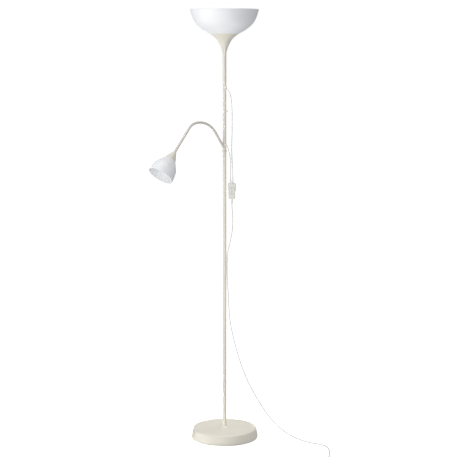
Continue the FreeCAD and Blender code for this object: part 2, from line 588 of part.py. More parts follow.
def make_head():
    place = head_placement()
    seam = dim("head_seam")
    outside = smooth_profile(CAP_OUTSIDE)
    inside = offset_points(outside, dim("cap_wall"), 4)
    inside[-1] = Vector(inside[-1].x, 0, seam)
    collar = dim("head_collar")
    inner_edges = polyline_edges(inside)
    top = [inside[0], (0, inside[0].z), (0, 0), (collar, 0), CAP_OUTSIDE[0]]
    edge = polyline_edges([inside[-1], CAP_OUTSIDE[-1]])
    feature("head_cap", turned_wire([outside.toShape()] + inner_edges + polyline_edges(top) + edge), place)

    outside = smooth_profile(BELL_OUTSIDE)
    inside = offset_points(outside, dim("bell_wall"))[1:]
    inside[-1] = Vector(inside[-1].x, 0, dim("head_length"))
    inner = Part.BSplineCurve()
    inner.interpolate(inside)
    ledge = [inside[0], (dim("bell_hole"), inside[0].z), (dim("bell_hole"), seam), (BELL_OUTSIDE[0][0], seam)]
    rim = polyline_edges([inside[-1], BELL_OUTSIDE[-1]])
    edges = [outside.toShape(), inner.toShape()] + polyline_edges(ledge) + rim
    feature("head_shade", turned_wire(edges), place)

    start, end = "Sheet.small_holder_start", "Sheet.small_holder_end"
    holder = turned("lampholder_lower", [
        ("Sheet.small_holder_radius / 3", start), ("Sheet.small_holder_radius - 5", start),
        ("Sheet.small_holder_radius", start + " + 12"), ("Sheet.small_holder_radius", end),
        ("Sheet.small_holder_radius - Sheet.holder_wall", end),
        ("Sheet.small_holder_radius - Sheet.holder_wall", start + " + 14"),
        ("Sheet.small_holder_radius / 3", start + " + 12")])
    ring = tube("shade_ring_lower", "Sheet.small_holder_radius + Sheet.fit_gap", "Sheet.small_ring_radius",
                "Sheet.head_seam - Sheet.small_ring_height", "Sheet.head_seam")
    cap = tube("bulb_cap_lower", "Sheet.small_bulb_cap - 1", "Sheet.small_bulb_cap", start + " + 16", end)
    for body in (holder, ring, cap):
        body.Placement = place
        keep(body, body.Name)
    base = place.multiply(Placement(Vector(0, 0, dim("small_holder_end")), Rotation()))
    make_bulb("bulb_lower", dim("small_bulb_neck"), dim("small_bulb_radius"),
              dim("small_bulb_end") - dim("small_holder_end"), base)


# ---------------------------------------------------------------- in-line switch
def switch_block(name, inset):
    """Body of the housing's outline, tapered towards the foot, its edges rounded."""
    body = doc.addObject("PartDesign::Body", name)
    outline = new_sketch(body, name + "_outline", "XZ_Plane")
    half, foot = "Sheet.switch_width / 2 - %g" % inset, "Sheet.switch_foot_width / 2 - %g" % inset
    top, bottom = "-%g" % inset, "%g - Sheet.switch_height" % inset
    shoulder = "-Sheet.switch_height * 0.4"
    knee = "Sheet.switch_foot_width / 2 - 5 - %g" % inset
    corners = [(half, top), (half, shoulder), (foot, shoulder + " - 6"), (foot, bottom + " + 5"),
               (knee, bottom)]
    mirrored = [("-(%s)" % u, v) for u, v in reversed(corners)]
    bound_polygon(outline, corners + mirrored)
    pad = body.newObject("PartDesign::Pad", name + "_pad")
    pad.Profile = outline
    pad.Midplane = True
    pad.setExpression("Length", "Sheet.switch_depth - %g" % (2 * inset))
    doc.recompute()
    rounding = body.newObject("PartDesign::Fillet", name + "_rounding")
    rounding.Base = (pad, ["Edge%d" % (i + 1) for i in range(len(pad.Shape.Edges))])
    rounding.Radius = dim("switch_corner") if inset == 0 else dim("switch_corner") - 1.4
    body.Placement = Placement(Vector(dim("switch_x"), dim("switch_y"), dim("switch_top")), Rotation())
    doc.recompute()
    return body


def switch_half(label, front):
    """Front or rear shell: the hollow block on one side of the seam."""
    depth = dim("switch_depth")
    seam = dim("switch_y") + depth / 2 - dim("switch_seam")
    block = switch_block(label + "_block", 0).Shape
    hollow = switch_block(label + "_hollow", dim("switch_wall")).Shape
    width, height = dim("switch_width") + 4, dim("switch_height") + 4
    low = seam - depth if front else seam
    side = Part.makeBox(width, depth, height, Vector(dim("switch_x") - width / 2, low,
                                                     dim("switch_top") - height + 2))
    return block.cut(hollow).common(side)


def rocker_centres():
    for side, name in ((-1, "rocker_left"), (1, "rocker_right")):
        x = dim("switch_x") + side * dim("rocker_pitch") / 2
        yield name, Vector(x, dim("switch_y") - dim("switch_depth") / 2 + dim("pivot_inset"), dim("rocker_z"))


def rocker_shape(width, grow):
    """Rocker paddle: two flats that meet at a shallow angle over the pivot, extruded along X."""
    half = dim("rocker_height") / 2 + grow
    face = -dim("pivot_inset") - grow
    rise = dim("rocker_rise")
    back = dim("rocker_depth") - dim("pivot_inset") + grow
    outline = [(face + 0.4, -half), (face, 0), (face - rise, half), (back - 3, half), (back, 3), (back, -3),
               (back - 3, -half), (face + 0.4, -half)]
    wire = Part.makePolygon([Vector(-width / 2, y, z) for y, z in outline])
    return Part.Face(wire).extrude(Vector(width, 0, 0))


def make_switch():
    front = switch_half("switch_front", True)
    rear = switch_half("switch_rear", False)
    pivot = dim("pivot_radius")
    reach = dim("rocker_width") / 2 + dim("pivot_length")
    x_axis = Vector(1, 0, 0)
    frame_depth = dim("rocker_depth") + 1.0
    front_face = dim("switch_y") - dim("switch_depth") / 2
    window_width = dim("rocker_width") + 2 * dim("rocker_gap")
    window_height = dim("rocker_height") + 2 * dim("rocker_sweep")
    frame_width = dim("rocker_pitch") + window_width + 2 * dim("frame_border")
    frame_height = window_height + 2 * dim("frame_border")
    frame = Part.makeBox(frame_width, frame_depth, frame_height,
                         Vector(dim("switch_x") - frame_width / 2, front_face + dim("frame_sink"),
                                dim("rocker_z") - frame_height / 2))
    front = front.fuse(frame)
    for name, centre in rocker_centres():
        window = Part.makeBox(window_width, frame_depth + 4, window_height,
                              Vector(centre.x - window_width / 2, front_face - 2,
                                     centre.z - window_height / 2))
        hole = Part.makeCylinder(pivot + dim("fit_gap"), 2 * reach + 0.2,
                                 centre - x_axis * (reach + 0.1), x_axis)
        front = front.cut(window).cut(hole)
        rocker = rocker_shape(dim("rocker_width"), 0)
        pin = Part.makeCylinder(pivot, 2 * reach, Vector(-reach, 0, 0), x_axis)
        feature(name, rocker.fuse(pin).removeSplitter(), Placement(centre, Rotation()))
    feature("switch_front", front.removeSplitter())
    screws = make_switch_inside()
    feature("switch_rear", rear.cut(screws))


def make_switch_inside():
    back = dim("switch_y") + dim("switch_depth") / 2
    rear_inside = back - dim("switch_wall")
    wide, deep, high = dim("contact_width"), dim("contact_depth"), dim("contact_height")
    contacts = []
    for name, centre in rocker_centres():
        for offset in (-dim("contact_offset"), dim("contact_offset")):
            corner = Vector(centre.x - wide / 2, rear_inside - deep, centre.z + offset - high / 2)
            contacts.append(Part.makeBox(wide, deep, high, corner))
    feature("switch_contacts", Part.makeCompound(contacts))
    forward = Vector(0, -1, 0)
    screws = []
    for depth in (dim("case_screw_high"), dim("case_screw_low")):
        seat = Vector(dim("switch_x"), back, dim("switch_top") - depth)
        head = Part.makeCylinder(dim("case_screw_head"), dim("case_screw_rim"),
                                 seat - forward * dim("case_screw_proud"), forward)
        shank = Part.makeCylinder(dim("case_screw_shank"), dim("case_screw_length"), seat, forward)
        screws.append(head.fuse(shank))
    screws = Part.makeCompound(screws)
    feature("switch_screws", screws)
    lead_radius, cord_radius = dim("lead_diameter") / 2, dim("cord_diameter") / 2
    reliefs = []
    for route in (READING_LEAD, UPPER_LEAD):
        foot = Vector(route[-1][0], route[-1][1], dim("switch_top"))
        reliefs.append(Part.makeCone(dim("relief_root"), lead_radius + dim("relief_lip"),
                                     dim("relief_length"), foot))
    feature("lead_reliefs", Part.makeCompound(reliefs))
    foot = Vector(MAINS_CORD[0][0], MAINS_CORD[0][1], dim("switch_top") - dim("switch_height"))
    feature("mains_relief", Part.makeCone(dim("relief_root"), cord_radius + dim("relief_lip"),
                                          dim("relief_length"), foot, Vector(0, 0, -1)))
    return screws


# ---------------------------------------------------------------- leads and cord
def route_wire(label, corners):
    """Straight runs joined by tangent arcs; prints the radii."""
    points = [Vector(*c) for c in corners]
    edges = []
    radii = []
    here = points[0]
    for before, corner, after in zip(points, points[1:], points[2:]):
        towards, away = (corner - before), (after - corner)
        shorter = min(towards.Length, away.Length)
        half_turn = towards.getAngle(away) / 2
        reach = 0.45 * shorter
        radii.append(reach / math.tan(half_turn))
        towards.normalize()
        away.normalize()
        start, end = corner - towards * reach, corner + away * reach
        bisector = (away - towards).normalize()
        middle = corner + bisector * (radii[-1] / math.cos(half_turn) - radii[-1])
        edges.append(Part.makeLine(here, start))
        edges.append(Part.Arc(start, middle, end).toShape())
        here = end
    edges.append(Part.makeLine(here, points[-1]))
    print(label, "radii", " ".join("%.0f" % r for r in radii))
    return Part.Wire(edges)


def make_cord(label, corners, diameter):
    wire = route_wire(label, corners)
    start = Vector(*corners[0])
    rod = swept_rod(wire, start, (Vector(*corners[1]) - start).normalize(), diameter / 2)
    expected = wire.Length * math.pi * diameter * diameter / 4
    print(label, "length %.1f volume ratio %.5f" % (wire.Length, rod.Volume / expected))
    feature(label, rod)


def make_cords():
    make_cord("upper_lead", UPPER_LEAD, dim("lead_diameter"))
    make_cord("reading_lead", READING_LEAD, dim("lead_diameter"))
    make_cord("mains_cord", MAINS_CORD, dim("cord_diameter"))
    make_cord("mains_tail", MAINS_TAIL, dim("cord_diameter"))
    place = Placement(Vector(dim("coil_x"), dim("coil_y"), 0), Rotation())
    coil = tube("mains_coil", "Sheet.coil_inner", "Sheet.coil_outer", "Sheet.coil_lift",
                "Sheet.coil_lift + Sheet.coil_height")
    coil.Placement = place
    keep(coil, "mains_coil")
    lift = dim("coil_lift")
    corner = Vector(-dim("coil_outer") - lift, -dim("tie_width") / 2, 0)
    outer = Part.makeBox(dim("coil_outer") - dim("coil_inner") + 2 * lift, dim("tie_width"),
                         dim("coil_height") + 2 * lift, corner)
    core = Part.makeCylinder(dim("coil_outer"), dim("coil_height"), Vector(0, 0, lift)).cut(
        Part.makeCylinder(dim("coil_inner"), dim("coil_height"), Vector(0, 0, lift)))
    feature("coil_tie", outer.cut(core), place)


def make_plug():
    """Flat two-pin plug that lies on its broad face, its nose towards -X."""
    body = doc.addObject("PartDesign::Body", "plug_body")
    outline = new_sketch(body, "plug_outline", "XY_Plane")
    wide, neck = "Sheet.plug_width / 2", "Sheet.plug_neck_width / 2"
    corners = [("0", neck), ("-6", neck), ("-Sheet.plug_length * 0.55", wide), ("-Sheet.plug_length", wide)]
    mirrored = [(u, "-(%s)" % v) for u, v in reversed(corners)]
    bound_polygon(outline, corners + mirrored)
    pad = body.newObject("PartDesign::Pad", "plug_pad")
    pad.Profile = outline
    pad.setExpression("Length", "Sheet.plug_thickness")
    doc.recompute()
    rounding = body.newObject("PartDesign::Fillet", "plug_rounding")
    rounding.Base = (pad, ["Edge%d" % (i + 1) for i in range(len(pad.Shape.Edges))])
    rounding.Radius = 2.4
    end = Vector(*MAINS_TAIL[-1])
    body.Placement = Placement(Vector(end.x, end.y, 0), Rotation())
    doc.recompute()
    keep(body, "plug_body")
    pins = []
    radius = dim("pin_radius")
    straight = dim("pin_length") - radius
    for side in (-1, 1):
        base = Vector(end.x - dim("plug_length"), end.y + side * dim("pin_spacing") / 2,
                      dim("plug_thickness") / 2)
        shaft = Part.makeCylinder(radius, straight, base, Vector(-1, 0, 0))
        tip = Part.makeSphere(radius, base - Vector(straight, 0, 0))
        pins.append(shaft.fuse(tip).removeSplitter())
    feature("plug_pins", Part.makeCompound(pins))


def check_and_write():
    doc.recompute()
    for obj in doc.Objects:
        bad = [state for state in obj.State if state in ("Invalid", "Error")]
        if bad:
            raise RuntimeError("%s is %s" % (obj.Label, bad))
    os.makedirs("parts", exist_ok=True)
    for obj in pieces:
        shape = obj.Shape
        if shape.isNull() or not shape.isValid() or not shape.Solids:
            raise RuntimeError("bad shape: " + obj.Label)
    for obj in pieces:
        obj.Shape.exportStep("parts/%s.step" % obj.Label)
        print("%-20s solids %d volume %.1f" % (obj.Label, len(obj.Shape.Solids), obj.Shape.Volume))
    print(len(pieces), "nodes")


fill_sheet()
make_base()
make_pole()
make_uplighter()
make_arm()
make_head()
make_switch()
make_cords()
make_plug()
check_and_write()
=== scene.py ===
"""Looks of the torchiere floor lamp and its reading lamp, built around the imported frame."""

import json
import math

import bmesh
import bpy
from mathutils import Matrix, Vector


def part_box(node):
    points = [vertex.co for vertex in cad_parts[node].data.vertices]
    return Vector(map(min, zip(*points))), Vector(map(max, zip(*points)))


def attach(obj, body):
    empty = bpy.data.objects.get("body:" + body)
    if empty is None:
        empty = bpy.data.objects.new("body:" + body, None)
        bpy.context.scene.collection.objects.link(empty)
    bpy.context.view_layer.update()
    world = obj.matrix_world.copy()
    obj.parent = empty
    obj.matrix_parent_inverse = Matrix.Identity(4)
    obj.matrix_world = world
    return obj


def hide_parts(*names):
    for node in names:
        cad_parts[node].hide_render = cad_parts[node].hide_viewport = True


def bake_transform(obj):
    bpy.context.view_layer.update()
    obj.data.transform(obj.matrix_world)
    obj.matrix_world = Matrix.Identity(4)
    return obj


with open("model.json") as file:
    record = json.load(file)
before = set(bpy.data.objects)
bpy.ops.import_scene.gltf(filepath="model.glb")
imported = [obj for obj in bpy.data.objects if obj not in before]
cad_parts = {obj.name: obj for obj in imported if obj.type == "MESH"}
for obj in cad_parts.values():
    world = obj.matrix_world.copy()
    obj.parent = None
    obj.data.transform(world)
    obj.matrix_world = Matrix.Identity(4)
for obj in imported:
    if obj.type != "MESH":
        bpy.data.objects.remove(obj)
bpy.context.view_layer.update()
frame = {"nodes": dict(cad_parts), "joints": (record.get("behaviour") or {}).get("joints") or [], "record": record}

MM = 0.001
STAND, HEAD = "stand", "reading_head"

# In millimetres: bore of the pieces that sit on the pole, and centre of the cord clips' snap rings.
POLE_FIT = 7.55
CLIP_PLACE = Vector((10.0, -8.1, 0))

# The camera and the lights, in metres.
CAMERA_PLACE = (0.0, -5.2217, 1.5942)
CAMERA_DOWN = 0.136487
CAMERA_RIGHT = 0.003079
CAMERA_LENS = 101.7
CAMERA_SENSOR = 36.0

# Routes of the leads and the cord, in millimetres, as in the CAD model.
LEAD_DIAMETER, CORD_DIAMETER = 4.5, 5.0
UPPER_LEAD = [(6.76, -8.06, 1448.38), (11.13, -13.26, 1442.47), (16.2, -16.8, 1436.2),
              (21.6, -18.6, 1426.0), (26.4, -18.8, 1408.0), (29.2, -17.6, 1378.0), (30.9, -15.6, 1326.0),
              (30.2, -13.4, 1268.0), (28.2, -11.6, 1210.0), (30.4, -9.9, 1156.0), (33.1, -8.4, 1119.0),
              (33.1, -8.0, 1083.0)]
READING_LEAD = [(6.76, -8.06, 1219.38), (9.67, -11.53, 1215.44), (12.4, -14.4, 1209.6),
                (15.0, -16.2, 1201.2), (18.6, -16.9, 1190.0), (21.9, -16.3, 1176.4),
                (24.0, -14.4, 1159.0), (24.5, -11.8, 1138.0), (24.3, -9.6, 1116.0), (24.2, -8.4, 1100.0),
                (24.2, -8.0, 1083.0)]
MAINS_CORD = [(29.6, -8.0, 979.0), (29.9, -8.0, 964.0), (32.6, -8.2, 940.0), (33.4, -8.7, 906.0),
              (31.2, -9.0, 870.0), (24.2, -8.9, 832.0), (16.0, -8.4, 796.0), (10.3, -8.1, 770.0),
              (9.9, -8.1, 736.0), (10.4, -8.1, 694.0), (12.2, -8.3, 646.0), (15.2, -9.0, 596.0),
              (17.6, -10.2, 545.0), (22.0, -12.0, 494.0), (33.5, -15.0, 436.0),
              (48.0, -18.8, 378.0), (65.0, -23.3, 322.0), (85.0, -28.8, 268.0), (110.5, -35.6, 215.0),
              (141.0, -43.8, 163.0), (175.5, -53.2, 111.0), (218.0, -64.4, 64.0), (266.0, -77.1, 30.5),
              (320.0, -91.3, 9.5), (370.0, -104.7, 2.5), (396.0, -117.0, 2.5), (414.0, -141.0, 2.5),
              (421.0, -177.0, 2.5), (420.5, -220.0, 2.5), (415.0, -266.0, 2.5), (408.5, -315.0, 2.9),
              (406.5, -362.0, 3.3)]
MAINS_TAIL = [(374.0, -394.5, 8.3), (350.0, -394.5, 8.0), (327.0, -397.0, 6.85), (309.0, -397.5, 6.85)]
COIL_TURNS = 4.25
COIL_STEPS = 16

# Outside profiles: (radius, depth under the lamp's top) and (radius, distance from the arm's end).
BOWL_OUTSIDE = [(137.8, 0.0), (132.2, 20.0), (124.4, 40.0), (113.4, 57.0), (98.6, 71.0), (77.0, 86.0),
                (57.0, 97.0)]
FUNNEL_OUTSIDE = [(57.0, 97.0), (40.7, 109.0), (29.9, 120.0), (21.0, 135.0), (14.0, 151.0),
                  (9.4, 165.5), (8.4, 172.0)]
CAP_OUTSIDE = [(7.0, 4.0), (16.0, 23.0), (24.6, 43.0)]
BELL_OUTSIDE = [(24.6, 43.0), (33.0, 55.0), (40.0, 65.0), (45.8, 77.0), (48.6, 90.0), (50.6, 104.0),
                (52.5, 118.0)]

# The arm's centreline: straight, wide bend, tight bend, straight, in one upright plane.
ARM_AZIMUTH, ARM_START, ARM_START_HEIGHT, ARM_SLOPE = 222.0, 9.9, 1216.6, 54.0
ARM_PLAN = [("line", 66.0, 0.0), ("bend", 68.0, 106.0), ("bend", 36.5, 50.0), ("line", 115.0, 0.0)]
ARM_RADIUS, ARM_JOINTS, ARM_FIRST_JOINT, ARM_PITCH = 5.2, 7, 36.0, 43.0


# ---------------------------------------------------------------- camera and light
def add(name, data):
    obj = bpy.data.objects.new(name, data)
    bpy.context.scene.collection.objects.link(obj)
    return obj


def make_camera():
    data = bpy.data.cameras.new("camera")
    data.lens = CAMERA_LENS
    data.sensor_width = CAMERA_SENSOR
    camera = add("camera", data)
    camera.location = CAMERA_PLACE
    camera.rotation_euler = (math.pi / 2 - CAMERA_DOWN, 0, -CAMERA_RIGHT)
    bpy.context.scene.camera = camera


def soft_light(name, place, target, size, power, spread=180):
    """Large rectangular softbox that faces a point; spread is its beam in degrees."""
    data = bpy.data.lights.new(name, "AREA")
    data.shape = "RECTANGLE"
    data.size, data.size_y = size
    data.energy = power
    data.spread = math.radians(spread)
    light = add(name, data)
    light.location = place
    light.rotation_euler = (Vector(target) - Vector(place)).to_track_quat("-Z", "Y").to_euler()


def make_light():
    """Softboxes round the lamp, a dim sky for its shadow sides and a white backdrop."""
    soft_light("key_left", (-3.0, -1.2, 1.4), (0, 0, 1.5), (1.4, 2.0), 8)
    soft_light("bowl_key", (-2.7, -0.9, 0.2), (-0.06, 0, 1.68), (1.0, 0.8), 0.38, 13)
    soft_light("fill_front", (-0.3, -4.2, 0.5), (0, 0, 1.0), (3.0, 1.4), 16)
    soft_light("bounce_low", (-2.6, -2.2, 0.2), (0, 0, 1.8), (2.0, 2.0), 52)
    soft_light("bounce_floor", (-0.5, -1.5, 0.05), (-0.5, -1.5, 1.8), (2.0, 1.2), 15)
    soft_light("fill_right", (2.2, -2.2, 0.5), (0, 0, 0.05), (1.2, 1.2), 0.29, 32)
    soft_light("base_side", (-2.2, -1.0, 0.3), (0, 0, 0.02), (0.5, 0.3), 0.16, 12)
    soft_light("base_top", (0.9, 0.6, 2.8), (0, 0, 0), (0.6, 0.6), 0.32, 15)
    soft_light("top", (-0.3, -0.3, 3.8), (0, 0, 0), (2.4, 2.4), 40)
    world = bpy.data.worlds.new("studio")
    bpy.context.scene.world = world
    world.use_nodes = True
    nodes, links = world.node_tree.nodes, world.node_tree.links
    nodes.clear()
    output = nodes.new("ShaderNodeOutputWorld")
    mix = nodes.new("ShaderNodeMixShader")
    path = nodes.new("ShaderNodeLightPath")
    ambient = nodes.new("ShaderNodeBackground")
    white = nodes.new("ShaderNodeBackground")
    ambient.inputs["Color"].default_value = (0.96, 0.975, 1.0, 1)
    ambient.inputs["Strength"].default_value = 0.42
    white.inputs["Color"].default_value = (1, 1, 1, 1)
    white.inputs["Strength"].default_value = 1.0
    links.new(path.outputs["Is Camera Ray"], mix.inputs["Fac"])
    links.new(ambient.outputs[0], mix.inputs[1])
    links.new(white.outputs[0], mix.inputs[2])
    links.new(mix.outputs[0], output.inputs[0])
    bpy.context.scene.view_settings.view_transform = "Standard"


def make_floor():
    """White floor out to the horizon. It sends no light back, so that the lamp stays softly modelled."""
    mesh = bpy.data.meshes.new("studio_floor")
    reach = 60.0
    mesh.from_pydata([(-reach, -reach, 0), (reach, -reach, 0), (reach, reach, 0), (-reach, reach, 0)], [],
                     [(0, 1, 2, 3)])
    floor = add("studio_floor", mesh)
    material = bpy.data.materials.new("floor_white")
    material.use_nodes = True
    shader = material.node_tree.nodes["Principled BSDF"]
    shader.inputs["Base Color"].default_value = (0.9, 0.9, 0.9, 1)
    shader.inputs["Roughness"].default_value = 0.9
    shader.inputs["Specular IOR Level"].default_value = 0.0
    shader.inputs["Emission Color"].default_value = (1, 1, 1, 1)
    shader.inputs["Emission Strength"].default_value = 0.75
    mesh.materials.append(material)
    floor.visible_diffuse = False
    floor.visible_glossy = False


# ---------------------------------------------------------------- materials
def noise(nodes, links, source, scale, detail=3.0, stretch=None):
    """Noise texture on the piece's own coordinates; stretch scales them axis by axis."""
    texture = nodes.new("ShaderNodeTexNoise")
    texture.inputs["Scale"].default_value = scale
    texture.inputs["Detail"].default_value = detail
    if stretch:
        mapping = nodes.new("ShaderNodeMapping")
        mapping.inputs["Scale"].default_value = stretch
        links.new(source, mapping.inputs["Vector"])
        source = mapping.outputs[0]
    links.new(source, texture.inputs["Vector"])
    return texture.outputs[0]


def surface(name, tones, rough, tone_scale=14.0, rough_scale=60.0, bumps=(), stretch=None, **sockets):
    """Material with colour, roughness and relief from noise; sockets are the shader's own constants."""
    material = bpy.data.materials.new(name)
    material.use_nodes = True
    nodes, links = material.node_tree.nodes, material.node_tree.links
    shader = nodes["Principled BSDF"]
    source = nodes.new("ShaderNodeTexCoord").outputs["Object"]
    ramp = nodes.new("ShaderNodeValToRGB")
    ramp.color_ramp.elements[0].position = 0.3
    ramp.color_ramp.elements[1].position = 0.7
    ramp.color_ramp.elements[0].color = (*tones[0], 1)
    ramp.color_ramp.elements[1].color = (*tones[1], 1)
    links.new(noise(nodes, links, source, tone_scale, 4.0, stretch), ramp.inputs[0])
    links.new(ramp.outputs[0], shader.inputs["Base Color"])
    spread = nodes.new("ShaderNodeMapRange")
    spread.inputs["From Min"].default_value = 0.3
    spread.inputs["From Max"].default_value = 0.7
    spread.inputs["To Min"].default_value = rough[0]
    spread.inputs["To Max"].default_value = rough[1]
    links.new(noise(nodes, links, source, rough_scale, 3.0, stretch), spread.inputs[0])
    links.new(spread.outputs[0], shader.inputs["Roughness"])
    normal = None
    for scale, height, strength in bumps:
        bump = nodes.new("ShaderNodeBump")
        bump.inputs["Strength"].default_value = strength
        bump.inputs["Distance"].default_value = height
        links.new(noise(nodes, links, source, scale, 2.0, stretch), bump.inputs["Height"])
        if normal is not None:
            links.new(normal, bump.inputs["Normal"])
        normal = bump.outputs[0]
    if normal is not None:
        links.new(normal, shader.inputs["Normal"])
    for socket, value in sockets.items():
        shader.inputs[socket.replace("_", " ")].default_value = value
    return material


def make_materials():
    """One material for each of the record's slots."""
    return {
        "ivory_metal": surface("ivory_powder_coat", ((0.79, 0.75, 0.65), (0.81, 0.77, 0.67)),
                               (0.44, 0.52), bumps=((1400, 0.00001, 0.35), (260, 0.00002, 0.15))),
        "ivory_plastic": surface("ivory_moulded_plastic", ((0.765, 0.735, 0.632), (0.785, 0.755, 0.652)),
                                 (0.42, 0.5), bumps=((2600, 0.00001, 0.3),)),
        "arm_sleeve": surface("ivory_flexible_sleeve", ((0.70, 0.665, 0.595), (0.71, 0.675, 0.605)),
                              (0.38, 0.46), bumps=((1800, 0.00001, 0.3),)),
        "white_shade": surface("opal_white_shade", ((0.87, 0.875, 0.89), (0.88, 0.885, 0.9)),
                               (0.42, 0.5), tone_scale=9.0, bumps=((60, 0.00005, 0.1),),
                               Coat_Weight=0.06, Coat_Roughness=0.2),
        "white_plastic": surface("white_moulded_plastic", ((0.775, 0.765, 0.705), (0.79, 0.78, 0.72)),
                                 (0.32, 0.42), bumps=((2200, 0.00001, 0.3),)),
        "cord_sheath": surface("pale_pvc_sheath", ((0.80, 0.785, 0.765), (0.84, 0.825, 0.805)),
                               (0.42, 0.55), tone_scale=30.0, bumps=((900, 0.00001, 0.3),)),
        "steel": surface("zinc_plated_steel", ((0.52, 0.52, 0.5), (0.62, 0.61, 0.57)), (0.26, 0.42),
                         rough_scale=90.0, bumps=((700, 0.00003, 0.4),), stretch=(1, 1, 0.1), Metallic=1.0),
        "brass": surface("turned_brass", ((0.72, 0.52, 0.24), (0.8, 0.6, 0.3)), (0.2, 0.34),
                         rough_scale=120.0, bumps=((900, 0.00002, 0.4),), Metallic=1.0),
        "nickel": surface("nickel_plate", ((0.66, 0.62, 0.56), (0.74, 0.7, 0.64)), (0.14, 0.26),
                          rough_scale=110.0, bumps=((1200, 0.00001, 0.4),), Metallic=1.0),
        "cast_weight": surface("cast_iron_weight", ((0.07, 0.07, 0.072), (0.13, 0.13, 0.13)), (0.6, 0.82),
                               tone_scale=40.0, bumps=((420, 0.0003, 0.7), (1600, 0.0001, 0.5)),
                               Metallic=0.6),
        "pad_felt": surface("grey_felt", ((0.2, 0.2, 0.21), (0.34, 0.34, 0.35)), (0.85, 0.98),
                            tone_scale=500.0, bumps=((1500, 0.0003, 0.8),), Sheen_Weight=0.4),
        "bulb_glass": surface("opal_bulb_glass", ((0.86, 0.86, 0.85), (0.88, 0.88, 0.87)), (0.1, 0.16),
                              tone_scale=20.0, Coat_Weight=0.5, Coat_Roughness=0.04),
    }


MATERIALS = make_materials()


def dress_frame():
    """Gives every CAD node the material of its slot."""
    for part in frame["record"]["subparts"]:
        mesh = frame["nodes"][part["node"]].data
        mesh.materials.clear()
        mesh.materials.append(MATERIALS[part["material_slot"]])


def dress(obj, slot, body, *nodes):
    """Gives a new piece the material of a slot, puts it on its body, and hides the CAD nodes that it stands for.
    """
    if obj.type == "MESH":
        obj.data.materials.clear()
    obj.data.materials.append(MATERIALS[slot])
    if body:
        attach(obj, body)
    if nodes:
        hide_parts(*nodes)
    return obj


# ---------------------------------------------------------------- mesh helpers
def mesh_object(name, vertices, faces, crease=35.0):
    """Mesh in metres from points in millimetres, smooth but for edges sharper than crease."""
    mesh = bpy.data.meshes.new(name)
    mesh.from_pydata([Vector(v) * MM for v in vertices], [], faces)
    work = bmesh.new()
    work.from_mesh(mesh)
    bmesh.ops.recalc_face_normals(work, faces=work.faces)
    work.to_mesh(mesh)
    work.free()
    finish_shading(mesh, crease)
    return add(name, mesh)


def finish_shading(mesh, crease=35.0):
    mesh.shade_smooth()
    mesh.set_sharp_from_angle(angle=math.radians(crease))


def smooth_through(points, steps=10):
    """Rounded line through the points (centripetal Catmull-Rom), ends included."""
    ps = [Vector(p) for p in points]
    ps = [ps[0] * 2 - ps[1]] + ps + [ps[-1] * 2 - ps[-2]]
    line = []
    for a, b, c, d in zip(ps, ps[1:], ps[2:], ps[3:]):
        ta, tb = 0.0, (b - a).length ** 0.5
        tc = tb + (c - b).length ** 0.5
        td = tc + (d - c).length ** 0.5
        for i in range(steps):
            t = tb + (tc - tb) * i / steps
            ab = a * ((tb - t) / (tb - ta)) + b * ((t - ta) / (tb - ta))
            bc = b * ((tc - t) / (tc - tb)) + c * ((t - tb) / (tc - tb))
            cd = c * ((td - t) / (td - tc)) + d * ((t - tc) / (td - tc))
            abc = ab * ((tc - t) / (tc - ta)) + bc * ((t - ta) / (tc - ta))
            bcd = bc * ((td - t) / (td - tb)) + cd * ((t - tb) / (td - tb))
            line.append(abc * ((tc - t) / (tc - tb)) + bcd * ((t - tb) / (tc - tb)))
    line.append(ps[-2])
    return line


def rounded(corners, steps=6):
    """Closed outline of (x, y, radius) corners, each corner an arc of its own radius."""
    line = []
    count = len(corners)
    for i in range(count):
        x, y, radius = corners[i]
        here = Vector((x, y))
        back = Vector(corners[i - 1][:2]) - here
        ahead = Vector(corners[(i + 1) % count][:2]) - here
        if radius < 1e-6:
            line.append(here)
            continue
        half = back.angle(ahead) / 2
        reach = min(radius / math.tan(half), 0.49 * back.length, 0.49 * ahead.length)
        radius = reach * math.tan(half)
        centre = here + (back.normalized() + ahead.normalized()).normalized() * (radius / math.sin(half))
        start, end = here + back.normalized() * reach - centre, here + ahead.normalized() * reach - centre
        turn = start.angle_signed(end)
        for k in range(steps + 1):
            angle = -turn * k / steps
            line.append(centre + Matrix.Rotation(angle, 2) @ start)
    return line


def turned(name, outline, place=Matrix.Identity(4), segments=144, crease=35.0):
    """Closed outline of (radius, height) turned about Z; points on the axis are single vertices."""
    rows, vertices, faces = [], [], []
    for radius, height in outline:
        if radius < 1e-4:
            rows.append([len(vertices)] * segments)
            vertices.append(place @ Vector((0, 0, height)))
            continue
        rows.append(list(range(len(vertices), len(vertices) + segments)))
        for i in range(segments):
            angle = 2 * math.pi * i / segments
            vertices.append(place @ Vector((radius * math.cos(angle), radius * math.sin(angle), height)))
    on_axis = abs(outline[0][0]) < 1e-4 and abs(outline[-1][0]) < 1e-4
    pairs = list(zip(rows, rows[1:])) + ([] if on_axis else [(rows[-1], rows[0])])
    for low, high in pairs:
        for i in range(segments):
            k = (i + 1) % segments
            corners = [low[i], low[k], high[k], high[i]]
            corners = [c for n, c in enumerate(corners) if c not in corners[:n]]
            if len(corners) > 2:
                faces.append(corners)
    return mesh_object(name, vertices, faces, crease)


def offset_line(line, distance):
    """The (radius, height) line moved to its left by a distance."""
    moved = []
    for i, point in enumerate(line):
        along = line[min(i + 1, len(line) - 1)] - line[max(i - 1, 0)]
        moved.append(point + Vector((-along.y, along.x)).normalized() * distance)
    return moved


def round_lip(a, b, steps=6):
    """Half circle from point a to point b, bulging to the right of the way from a to b."""
    centre, start = (a + b) / 2, (a - b) / 2
    return [centre + Matrix.Rotation(math.pi * k / steps, 2) @ start for k in range(1, steps)]


